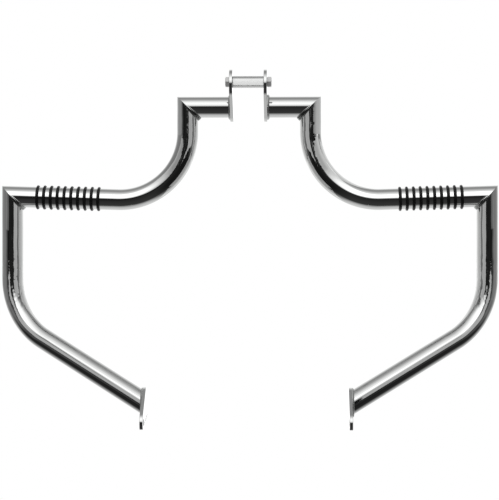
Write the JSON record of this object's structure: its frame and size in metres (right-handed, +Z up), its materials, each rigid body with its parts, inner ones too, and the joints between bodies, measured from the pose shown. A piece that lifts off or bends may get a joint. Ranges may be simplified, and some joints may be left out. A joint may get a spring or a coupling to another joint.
{
  "type": "motorcycle crash bars",
  "caption": "Chromed tube crash bars with mitred corners, curved arms, rubber-ringed grips, a bolt-through upper bracket and lower bolt tabs.",
  "frame": {"origin": "middle of the upper bolt, between the two upper tabs", "axes": "+X across the motorcycle, to the right in the picture, +Y from the tabs' free ends towards the bars, +Z up"},
  "size_m": [0.7438, 0.1656, 0.5222],
  "materials": {
    "chrome": "polished",
    "chrome_weld": "plated over a dressed weld",
    "zinc": "zinc plated, satin",
    "ring_rubber": "matt"
  },
  "bodies": {
    "root": {"upper_tab_right": "chrome", "upper_tab_left": "chrome", "stub_right": "chrome", "stub_left": "chrome", "arm_right": "chrome", "arm_left": "chrome", "leg_right": "chrome", "leg_left": "chrome", "lower_tab_right": "chrome", "lower_tab_left": "chrome", "stub_weld_right": "chrome_weld", "stub_weld_left": "chrome_weld", "inner_corner_weld_right": "chrome_weld", "inner_corner_weld_left": "chrome_weld", "outer_corner_weld_right": "chrome_weld", "outer_corner_weld_left": "chrome_weld", "foot_weld_right": "chrome_weld", "foot_weld_left": "chrome_weld", "bolt": "zinc", "nut": "zinc", "spacer": "zinc", "ring_right_1": "ring_rubber", "ring_right_2": "ring_rubber", "ring_right_3": "ring_rubber", "ring_right_4": "ring_rubber", "ring_right_5": "ring_rubber", "ring_right_6": "ring_rubber", "ring_right_7": "ring_rubber", "ring_right_8": "ring_rubber", "ring_right_9": "ring_rubber", "ring_right_10": "ring_rubber", "ring_left_1": "ring_rubber", "ring_left_2": "ring_rubber", "ring_left_3": "ring_rubber", "ring_left_4": "ring_rubber", "ring_left_5": "ring_rubber", "ring_left_6": "ring_rubber", "ring_left_7": "ring_rubber", "ring_left_8": "ring_rubber", "ring_left_9": "ring_rubber", "ring_left_10": "ring_rubber"}
  },
  "joints": []
}
